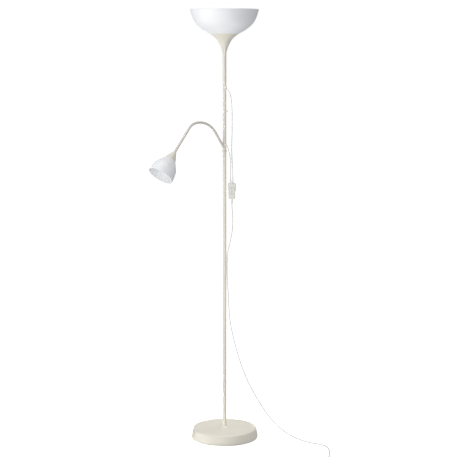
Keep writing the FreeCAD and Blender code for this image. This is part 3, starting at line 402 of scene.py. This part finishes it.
def frames_along(points):
    """Steady pairs of side vectors, square to a line of 3-D points."""
    tangents = []
    for i in range(len(points)):
        tangents.append((points[min(i + 1, len(points) - 1)] - points[max(i - 1, 0)]).normalized())
    side = tangents[0].orthogonal().normalized()
    frames = []
    for i, tangent in enumerate(tangents):
        if i:
            side = tangents[i - 1].rotation_difference(tangent) @ side
        frames.append((side, tangent.cross(side)))
    return frames


def swept(name, points, section, closed=False, crease=35.0):
    """Outline of (u, v) points carried along a line of 3-D points in millimetres."""
    points = [Vector(p) for p in points]
    vertices, faces = [], []
    frames = frames_along(points)
    size = len(section)
    for point, (side, up) in zip(points, frames):
        vertices += [point + side * u + up * v for u, v in section]
    last = len(points) if closed else len(points) - 1
    for i in range(last):
        a, b = i * size, ((i + 1) % len(points)) * size
        for k in range(size):
            n = (k + 1) % size
            faces.append([a + k, a + n, b + n, b + k])
    if not closed:
        faces += [list(range(size)), list(range(len(vertices) - size, len(vertices)))]
    return mesh_object(name, vertices, faces, crease)


def ring_section(radius, count=32):
    return [(radius * math.cos(2 * math.pi * i / count), radius * math.sin(2 * math.pi * i / count))
            for i in range(count)]


def aimed(base, direction):
    """Placement that turns Z to a direction and puts the origin at base, in millimetres."""
    turn = Vector((0, 0, 1)).rotation_difference(Vector(direction)).to_matrix().to_4x4()
    return Matrix.Translation(Vector(base)) @ turn


# ---------------------------------------------------------------- leads and cord
def cord_curve(name, points, diameter):
    """Round cord on a NURBS spline with the route's points as its control points."""
    curve = bpy.data.curves.new(name, "CURVE")
    curve.dimensions = "3D"
    curve.bevel_depth = diameter / 2 * MM
    curve.bevel_resolution = 5
    curve.resolution_u = 8
    curve.use_fill_caps = True
    spline = curve.splines.new("NURBS")
    spline.points.add(len(points) - 1)
    for control, point in zip(spline.points, points):
        control.co = (*(Vector(point) * MM), 1)
    spline.order_u = 3
    spline.use_endpoint_u = True
    return add(name, curve)


def coil_points():
    """Control points of the coil: two layers, spiralling in below and out again on top."""
    low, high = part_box("mains_coil")
    centre = (low + high) / 2 / MM
    inner, outer = 22.5, (high.x - low.x) / 2 / MM - CORD_DIAMETER / 2
    floor = low.z / MM + CORD_DIAMETER / 2
    below, climb = 2.0, 0.25
    above = COIL_TURNS - below - climb
    widen = 1 / (0.75 + 0.25 * math.cos(2 * math.pi / COIL_STEPS))
    points = []
    for i in range(1, int(COIL_TURNS * COIL_STEPS)):
        turn = i / COIL_STEPS
        inward = min(turn / below, 1.0)
        upward = min(max((turn - below) / climb, 0.0), 1.0)
        outward = max(turn - below - climb, 0.0) / above
        radius = outer + (inner - outer) * inward + (outer - inner) * outward
        angle, reach = -2 * math.pi * turn, radius * widen
        points.append((centre.x + reach * math.cos(angle), centre.y + reach * math.sin(angle),
                       floor + CORD_DIAMETER * upward))
    return points


def make_cords():
    """The two leads and the mains cord, which is one curve through its run, coil and tail."""
    upper = cord_curve("upper_lead_sheath", UPPER_LEAD, LEAD_DIAMETER)
    reading = cord_curve("reading_lead_sheath", READING_LEAD, LEAD_DIAMETER)
    mains = cord_curve("mains_cord_sheath", MAINS_CORD + coil_points() + MAINS_TAIL, CORD_DIAMETER)
    dress(upper, "cord_sheath", STAND, "upper_lead")
    dress(reading, "cord_sheath", STAND, "reading_lead")
    dress(mains, "cord_sheath", STAND, "mains_cord", "mains_coil", "mains_tail")
    return upper, reading, mains


def boot(name, route, root_z, lead_radius, node, sign):
    """Ribbed strain relief round a lead, from the switch housing outward."""
    length, root, tip = 20.0, 3.8, lead_radius + 0.7
    outline = [(lead_radius + 0.05, 0.0), (root, 0.0)]
    ribs = 5
    for i in range(ribs):
        start = 2.0 + i * (length - 3.0) / ribs
        end = start + (length - 3.0) / ribs
        r0 = root + (tip - root) * start / length
        groove = r0 - 0.45
        outline += [(r0, start), (r0, start + 1.4), (groove, start + 1.7), (groove, end - 0.3)]
    outline += [(tip, length - 1.0), (tip, length - 0.4), (tip - 0.3, length), (lead_radius + 0.05, length)]
    place = aimed((route[0], route[1], root_z), (0, 0, sign))
    return dress(turned(name, outline, place, 48, 30.0), "cord_sheath", STAND, node)


def make_boots():
    """Strain reliefs at the switch: two leads above, the mains cord below."""
    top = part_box("switch_rear")[1].z / MM
    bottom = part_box("switch_rear")[0].z / MM
    lead, cord = LEAD_DIAMETER / 2, CORD_DIAMETER / 2
    return {"upper_boot": boot("upper_lead_boot", UPPER_LEAD[-1], top, lead, "lead_reliefs", 1),
            "reading_boot": boot("reading_lead_boot", READING_LEAD[-1], top, lead, "lead_reliefs", 1),
            "mains_boot": boot("mains_cord_boot", MAINS_CORD[0], bottom, cord, "mains_relief", -1)}


# ---------------------------------------------------------------- plug and tie
def make_plug():
    """Flat moulded plug: rounded sections that swell from the cord to the pin face, with grip ribs."""
    low, high = (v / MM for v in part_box("plug_body"))
    middle = (low + high) / 2
    length, half_width, half_depth = high.x - low.x, (high.y - low.y) / 2, (high.z - low.z) / 2
    stations = [(0.0, 0.20, 0.46), (0.02, 0.235, 0.52), (0.1, 0.26, 0.56), (0.17, 0.3, 0.6),
                (0.26, 0.46, 0.72), (0.36, 0.7, 0.86), (0.46, 0.88, 0.95), (0.56, 0.96, 0.99),
                (0.7, 0.985, 1.0), (0.9, 1.0, 1.0), (0.97, 0.99, 0.985), (1.0, 0.955, 0.93)]
    count, vertices, faces = 64, [], []
    line = smooth_through([Vector(s) for s in stations], 4)
    for along, wide, deep in line:
        wide, deep, groove = min(wide, 1.0), min(deep, 1.0), 0.0
        if 0.5 < along < 0.86:
            groove = 0.045 * (0.5 - 0.5 * math.cos(2 * math.pi * (along - 0.5) / 0.072))
        for i in range(count):
            angle = 2 * math.pi * i / count
            c, s = math.cos(angle), math.sin(angle)
            u = math.copysign(abs(c) ** 0.55, c) * half_width * wide
            v = math.copysign(abs(s) ** 0.62, s) * half_depth * deep * (1 - groove * (1 - abs(c) ** 4))
            vertices.append((high.x - length * along, middle.y + u, middle.z + v))
    for row in range(len(line) - 1):
        a, b = row * count, (row + 1) * count
        faces += [[a + k, a + (k + 1) % count, b + (k + 1) % count, b + k] for k in range(count)]
    faces += [list(range(count)), list(range(len(vertices) - count, len(vertices)))]
    body = dress(mesh_object("plug_moulding", vertices, faces, 40.0), "white_plastic", STAND, "plug_body")
    return body, make_pins(low, high)


def make_pins(low, high):
    """Two round pins, each with a shallow groove halfway along its length."""
    pin_low, pin_high = (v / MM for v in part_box("plug_pins"))
    radius = (pin_high.z - pin_low.z) / 2
    length = low.x - pin_low.x
    height = (low.z + high.z) / 2
    parts = []
    for side, y in ((0, pin_low.y + radius), (1, pin_high.y - radius)):
        place = aimed((low.x + 0.6, y, height), (-1, 0, 0))
        crown = length + 0.6 - radius
        tip = [(radius * math.sin(math.pi * k / 16), crown + radius * math.cos(math.pi * k / 16))
               for k in range(9)]
        sleeve, slim = length * 0.5, radius - 0.15
        outline = tip + [(radius, sleeve + 0.3), (slim, sleeve + 0.1), (slim, sleeve), (radius, sleeve - 0.2),
                         (radius, 0.0), (0.0, 0.0)]
        parts.append(turned("pin_%d" % side, outline, place, 40, 30.0))
    pins = joined("plug_pin_pair", parts)
    return dress(pins, "nickel", STAND, "plug_pins")


def joined(name, parts):
    """One object from several meshes that share a material."""
    work = bmesh.new()
    for part in parts:
        work.from_mesh(part.data)
        mesh = part.data
        bpy.data.objects.remove(part)
        bpy.data.meshes.remove(mesh)
    mesh = bpy.data.meshes.new(name)
    work.to_mesh(mesh)
    work.free()
    finish_shading(mesh)
    return add(name, mesh)


def make_tie():
    """Flat strap in a closed loop round the coil, with rounded corners."""
    low, high = (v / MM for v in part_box("coil_tie"))
    thick = 0.8
    wide = (high.y - low.y)
    middle = (low + high) / 2
    left, right = low.x + thick / 2, high.x - thick / 2
    under, over = low.z + thick / 2, high.z - thick / 2
    path = rounded([(left, under, 3.4), (right, under, 3.4), (right, over, 3.4), (left, over, 3.4)], 8)
    points = [Vector((p.x, middle.y, p.y)) for p in path]
    vertices, faces = [], []
    section = rounded([(-thick / 2, -wide / 2, 0.3), (thick / 2, -wide / 2, 0.3), (thick / 2, wide / 2, 0.3),
                       (-thick / 2, wide / 2, 0.3)], 3)
    count = len(points)
    for i, point in enumerate(points):
        along = (points[(i + 1) % count] - points[i - 1]).normalized()
        outward = Vector((along.z, 0, -along.x))
        vertices += [point + outward * s.x + Vector((0, 1, 0)) * s.y for s in section]
    size = len(section)
    for i in range(count):
        a, b = i * size, ((i + 1) % count) * size
        faces += [[a + k, a + (k + 1) % size, b + (k + 1) % size, b + k] for k in range(size)]
    strap = mesh_object("tie_strap", vertices, faces, 40.0)
    return dress(strap, "white_plastic", STAND, "coil_tie")


# ---------------------------------------------------------------- base and pole
def make_base():
    """Base shell with a raised rim and a shallow channel inside it, the pole's collar and the pads."""
    low, high = (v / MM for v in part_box("base_cover"))
    wide = high.x
    top, foot = high.z, low.z
    outside = [(wide - 2.0, foot, 0.7), (wide, foot + 6.8, 6.0), (wide - 7.4, top, 4.6)]
    wall, dish, rim = 1.5, top - 0.9, wide - 13.6
    outline = rounded(outside + [
        (rim, top, 1.6), (rim - 2.2, top - 1.7, 1.4), (rim - 15.0, dish, 12.0), (5.2, dish, 0.2),
        (5.2, dish - wall, 0.2),
        (wide - 10.1, dish - wall, 3.0), (wide - 2.2, foot + 7.3, 4.0), (wide - 3.5, foot + wall, 0.3),
        (wide - 3.5, foot, 0.3)], 8)
    dress(turned("base_shell", outline, segments=192), "ivory_metal", STAND, "base_cover")
    low, high = (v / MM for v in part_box("pole_collar"))
    radius = high.x
    dome = smooth_through([Vector(p) for p in ((radius, low.z + 0.7), (radius - 1.2, low.z + 1.9),
                                               (radius - 4.2, low.z + 3.5), (radius - 7.6, low.z + 4.9),
                                               (POLE_FIT + 1.5, high.z - 0.5))], 6)
    outline = [Vector((POLE_FIT, low.z)), Vector((radius - 0.3, low.z))] + dome + [
        Vector((POLE_FIT + 0.6, high.z)), Vector((POLE_FIT, high.z))]
    dress(turned("pole_foot_collar", outline, segments=96), "ivory_metal", STAND, "pole_collar")
    make_pads()


def make_pads():
    """Felt discs with softened edges, on the CAD pads' places."""
    centres = pad_centres()
    low, high = (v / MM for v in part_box("base_pads"))
    parts = []
    for i, (x, y, radius) in enumerate(centres):
        outline = rounded([(0, low.z, 0), (radius, low.z, 0.6), (radius, high.z, 0.3), (0, high.z, 0)], 4)
        parts.append(turned("pad_%d" % i, outline, Matrix.Translation((x, y, 0)), 48))
    dress(joined("felt_pads", parts), "pad_felt", STAND, "base_pads")


def pad_centres():
    """(x, y, radius) of each separate pad, in millimetres, read from the CAD node."""
    work = bmesh.new()
    work.from_mesh(frame["nodes"]["base_pads"].data)
    bmesh.ops.remove_doubles(work, verts=work.verts, dist=1e-6)
    left, found = set(work.verts), []
    while left:
        todo = [min(left, key=lambda v: v.index)]
        island = set(todo)
        while todo:
            for edge in todo.pop().link_edges:
                for v in edge.verts:
                    if v not in island:
                        island.add(v)
                        todo.append(v)
        left -= island
        xs, ys = [v.co.x / MM for v in island], [v.co.y / MM for v in island]
        found.append(((min(xs) + max(xs)) / 2, (min(ys) + max(ys)) / 2, (max(xs) - min(xs)) / 2))
    work.free()
    return sorted(found)


def make_pole_trim():
    """Ring at the third joint, grommets of the leads and the two cord clips."""
    low, high = (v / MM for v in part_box("arm_ring"))
    outline = rounded([(POLE_FIT, low.z, 0.2), (high.x, low.z, 1.3), (high.x, high.z, 1.3),
                       (POLE_FIT, high.z, 0.2)], 8)
    dress(turned("pole_ring", outline, segments=80), "ivory_metal", STAND, "arm_ring")
    for node, route in (("lead_grommet_upper", UPPER_LEAD), ("lead_grommet_lower", READING_LEAD)):
        start, direction = Vector(route[0]), (Vector(route[1]) - Vector(route[0])).normalized()
        lead = LEAD_DIAMETER / 2
        outline = rounded([(lead, -5.6, 0.1), (3.6, -5.6, 0.1), (4.4, -3.4, 0.6), (4.0, -1.8, 0.8),
                           (3.1, -1.0, 0.8), (3.0, -0.2, 0.5), (2.7, 0.6, 0.3), (lead, 0.6, 0.2)], 4)
        bush = turned(node.replace("lead_", "") + "_bush", outline, aimed(start, direction), 48)
        dress(bush, "white_plastic", STAND, node)
    for node in ("cord_clip_lower", "cord_clip_upper"):
        make_clip(node)


def make_clip(node):
    """Open snap ring with rounded edges on a stem that goes into the pole."""
    low, high = (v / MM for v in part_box(node))
    out = CLIP_PLACE.normalized()
    centre = CLIP_PLACE + Vector((0, 0, (low.z + high.z) / 2))
    bore, wall, half = 2.75, 1.25, (high.z - low.z) / 2
    gap = 0.66
    section = rounded([(-wall / 2, -half, 0.45), (wall / 2, -half, 0.45), (wall / 2, half, 0.45),
                       (-wall / 2, half, 0.45)], 3)
    vertices, faces, steps = [], [], 40
    for i in range(steps + 1):
        angle = gap + (2 * math.pi - 2 * gap) * i / steps
        radial = Matrix.Rotation(angle, 3, "Z") @ out
        taper = 0.55 if i in (0, steps) else 0.9 if i in (1, steps - 1) else 1.0
        for s in section:
            vertices.append(centre + radial * (bore + wall / 2 + s.x * taper)
                            + Vector((0, 0, s.y * (0.9 if taper < 1 else 1))))
    size = len(section)
    for i in range(steps):
        a, b = i * size, (i + 1) * size
        faces += [[a + k, a + (k + 1) % size, b + (k + 1) % size, b + k] for k in range(size)]
    faces += [list(range(size)), list(range(len(vertices) - size, len(vertices)))]
    ring = mesh_object(node + "_ring", vertices, faces, 40.0)
    reach = CLIP_PLACE.length - bore - 0.4
    outline = rounded([(0, 5.4, 0), (1.7, 5.4, 0.3), (1.5, 6.6, 0.2), (1.5, 7.5, 0.2), (2.4, 7.6, 0.3),
                       (2.2, 8.6, 0.4), (1.5, reach, 0.3), (0, reach, 0)], 3)
    stem = turned(node + "_stem", outline, aimed((0, 0, centre.z), out), 32)
    dress(joined(node + "_snap", [ring, stem]), "white_plastic", STAND, node)


# ---------------------------------------------------------------- uplighter
def make_uplighter():
    """Bowl with a rounded lip, funnel under it, and what stands in the bowl."""
    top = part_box("bowl")[1].z / MM
    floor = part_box("bowl")[0].z / MM
    outside = smooth_through([Vector((r, top - depth)) for r, depth in reversed(BOWL_OUTSIDE)], 12)
    wall, seat = 1.8, BOWL_OUTSIDE[-1][0]
    outside = [p for p in outside if p.y < top - 2.4] + [Vector((BOWL_OUTSIDE[0][0] - 0.35, top - 1.2))]
    inside = offset_line(outside, wall)
    hole, shelf = 20.5, 44.0
    outline = outside + round_lip(outside[-1], inside[-1]) + list(reversed(inside))
    foot = [Vector((shelf - 1, floor + wall)), Vector((hole, floor + wall)), Vector((hole, floor)),
            Vector((shelf, floor)), Vector((seat - 2.4, top - BOWL_OUTSIDE[-1][1]))]
    dress(turned("bowl_shade", outline + foot, segments=224), "white_shade", STAND, "bowl")

    line = smooth_through([Vector((r, top - depth)) for r, depth in FUNNEL_OUTSIDE], 12)
    inner = [p for p in offset_line(line, -1.6) if p.x > POLE_FIT + 1.0]
    inner[0] = Vector((seat - 2.2, line[0].y))
    outline = line + [Vector((POLE_FIT, line[-1].y)), Vector((POLE_FIT, inner[-1].y - 1.5))] + inner[::-1]
    dress(turned("funnel_shell", outline, segments=160), "ivory_plastic", STAND, "funnel")
    make_upper_holder()


def make_bulb(name, node, place, neck, radius, length, body, segments=96):
    """Round-topped bulb on a slim neck."""
    centre = length - radius
    flank = smooth_through([Vector(p) for p in ((neck, 0.0), (neck + 0.3, centre * 0.18),
                                                (neck + (radius - neck) * 0.42, centre * 0.46),
                                                (neck + (radius - neck) * 0.86, centre * 0.78),
                                                (radius, centre))], 8)
    crown = [Vector((radius * math.cos(math.pi * k / 32), centre + radius * math.sin(math.pi * k / 32)))
             for k in range(1, 17)]
    crown[-1].x = 0.0
    outline = [Vector((0.0, 0.0))] + flank + crown
    dress(turned(name, outline, place, segments), "bulb_glass", body, node)


def ribbed_ring(name, node, place, bore, radius, low, high, ribs, body):
    """Threaded shade ring with grip ribs round its outside."""
    count = ribs * 8
    rows = [(low, 0.35), (low + 0.35, 0.0), (high - 0.35, 0.0), (high, 0.35)]
    vertices, faces = [], []
    for z, inset in rows:
        for i in range(count):
            angle = 2 * math.pi * i / count
            wave = 0.5 + 0.5 * math.cos(ribs * angle)
            r = radius - inset - 0.7 * (1 - wave ** 0.6)
            vertices.append(place @ Vector((r * math.cos(angle), r * math.sin(angle), z)))
    for z in (high, low):
        for i in range(count):
            angle = 2 * math.pi * i / count
            vertices.append(place @ Vector((bore * math.cos(angle), bore * math.sin(angle), z)))
    for row in range(6):
        a, b = row * count, ((row + 1) % 6) * count
        faces += [[a + k, a + (k + 1) % count, b + (k + 1) % count, b + k] for k in range(count)]
    dress(mesh_object(name, vertices, faces, 35.0), "white_plastic", body, node)


def make_upper_holder():
    low, high = (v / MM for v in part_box("shade_ring_upper"))
    ribbed_ring("shade_ring", "shade_ring_upper", Matrix.Identity(4), 19.65, high.x, low.z, high.z, 36, STAND)
    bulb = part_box("bulb_upper")
    place = Matrix.Translation((0, 0, bulb[0].z / MM))
    make_bulb("opal_bulb", "bulb_upper", place, 13.2, bulb[1].x / MM, (bulb[1].z - bulb[0].z) / MM, STAND)


# ---------------------------------------------------------------- gooseneck and head
def arm_frame(distance):
    """Point and unit tangent of the arm's centreline at a distance from its start, in millimetres."""
    azimuth, slope = math.radians(ARM_AZIMUTH), math.radians(ARM_SLOPE)
    plane = Vector((math.cos(azimuth), math.sin(azimuth), 0))
    reach, height = ARM_START, ARM_START_HEIGHT
    last = len(ARM_PLAN) - 1
    for number, (kind, size, radius) in enumerate(ARM_PLAN):
        length = size if kind == "line" else radius * math.radians(size)
        step = distance if number == last else min(distance, length)
        if kind == "line":
            reach += step * math.cos(slope)
            height += step * math.sin(slope)
        else:
            turned_to = slope - step / radius
            reach += radius * (math.sin(slope) - math.sin(turned_to))
            height += radius * (math.cos(turned_to) - math.cos(slope))
            slope = turned_to
        distance -= step
        if distance <= 0:
            break
    return plane * reach + Vector((0, 0, height)), plane * math.cos(slope) + Vector((0, 0, math.sin(slope)))


def arm_length():
    return sum(size if kind == "line" else radius * math.radians(size) for kind, size, radius in ARM_PLAN)


def make_arm():
    """Smooth sleeve in lengths that meet halfway between joints, each reaching across one joint."""
    stations = [ARM_FIRST_JOINT + ARM_PITCH * i for i in range(ARM_JOINTS)]
    for i, station in enumerate(stations):
        start = -11.5 if i == 0 else station - ARM_PITCH / 2
        end = arm_length() + 1.0 if i == ARM_JOINTS - 1 else station + ARM_PITCH / 2
        count = max(2, round((end - start) / 1.5))
        points = [arm_frame(start + (end - start) * k / count)[0] for k in range(count + 1)]
        sleeve = swept("gooseneck_%d" % (i + 1), points, ring_section(ARM_RADIUS, 40), crease=60.0)
        nodes = ["arm_link_0", "arm_link_1"] if i == 0 else ["arm_link_%d" % (i + 1)]
        dress(sleeve, "arm_sleeve", None, *nodes)
        reach = 17.0
        arm_frame(station - reach)[0] * MM
        arm_frame(station + reach)[0] * MM
        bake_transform(sleeve)


def make_head():
    """Cone and bell of the reading lamp, its shade ring and bulb, along the arm's end."""
    apex, axis = arm_frame(arm_length())
    place = Matrix.Translation(apex) @ Vector((0, 0, 1)).rotation_difference(axis).to_matrix().to_4x4()
    seam, tip = CAP_OUTSIDE[-1][1], BELL_OUTSIDE[-1][1]
    cone = smooth_through([Vector(p) for p in CAP_OUTSIDE], 14)
    collar = [Vector((5.45, 0.0)), Vector((5.75, 0.3)), Vector((6.0, 1.3)), Vector((6.4, 2.8))]
    outside = collar + cone
    inside = [p + Vector((-1.45, 0.4)) for p in cone if p.x > 8.0]
    outline = [Vector((0.0, 0.0))] + outside + [Vector((CAP_OUTSIDE[-1][0] - 1.5, seam))]
    outline += list(reversed([p for p in inside if p.y < seam - 0.6])) + [Vector((0.0, inside[0].y))]
    dress(turned("head_cone", outline, place, 128), "ivory_plastic", HEAD, "head_cap")

    bell = smooth_through([Vector(p) for p in BELL_OUTSIDE], 12)
    wall = 1.6
    bell[-1] = Vector((bell[-1].x - 0.1, tip - wall / 2))
    inner = offset_line(bell, wall)
    inner = [p for p in inner if p.y > seam + wall]
    ledge = [Vector((14.6, seam + wall)), Vector((14.6, seam)), Vector((bell[0].x, seam))]
    outline = bell + round_lip(bell[-1], inner[-1]) + list(reversed(inner)) + ledge[:2]
    dress(turned("bell_shade", outline, place, 176), "white_shade", HEAD, "head_shade")
    ribbed_ring("reading_shade_ring", "shade_ring_lower", place, 12.55, 17.5, seam - 4.0, seam, 28, HEAD)
    bulb = place @ Matrix.Translation((0, 0, 50.0))
    make_bulb("reading_bulb", "bulb_lower", bulb, 7.2, 20.0, 40.0, HEAD, 80)


# ---------------------------------------------------------------- switch
def make_rocker(name, node):
    """Rocker key: ends that follow an arc about the pivot, a shallow finger hollow below the ridge."""
    body = [b for b, nodes in frame["record"]["behaviour"]["bodies"].items() if node in nodes][0]
    joint = [j for j in frame["joints"] if j["child"] == body][0]
    pivot = Vector(joint["pos_m"]) / MM
    reach, width = 12.35, 10.8
    top = [Vector((y, math.sqrt(reach ** 2 - y ** 2))) for y in (-5.4, -4.4, -3.2, -1.6)]
    bottom = [Vector((y, -math.sqrt(reach ** 2 - y ** 2))) for y in (-1.4, -2.8)]
    front = [(-3.15, -8.4), (-3.0, -4.5), (-3.2, -0.9), (-3.3, 1.1), (-3.75, 5.0), (-4.6, 8.7)]
    line = smooth_through(bottom[-1:] + [Vector(p) for p in front] + top[:1], 4)
    outline = line + top[1:] + [Vector((2.8, 3.0)), Vector((2.8, -3.0))] + bottom[:1]
    vertices = [(pivot.x + side * width / 2, pivot.y + y, pivot.z + z)
                for side in (-1, 1) for y, z in outline]
    count = len(outline)
    faces = [list(range(count)), list(range(count, 2 * count))]
    faces += [[k, (k + 1) % count, count + (k + 1) % count, count + k] for k in range(count)]
    key = mesh_object(name, vertices, faces)
    bevel = key.modifiers.new("edges", "BEVEL")
    bevel.width = 0.55 * MM
    bevel.segments = 3
    bevel.angle_limit = math.radians(28)
    dress(key, "white_plastic", body, node)
    return key


def main():
    make_camera()
    cords = make_cords()
    pieces = make_boots()
    pieces["plug"], pieces["pins"] = make_plug()
    pieces["tie"] = make_tie()
    pieces["left"] = make_rocker("rocker_key_left", "rocker_left")
    pieces["right"] = make_rocker("rocker_key_right", "rocker_right")
    make_base()
    make_pole_trim()
    make_uplighter()
    make_arm()
    make_head()
    dress_frame()
    make_light()
    make_floor()


main()
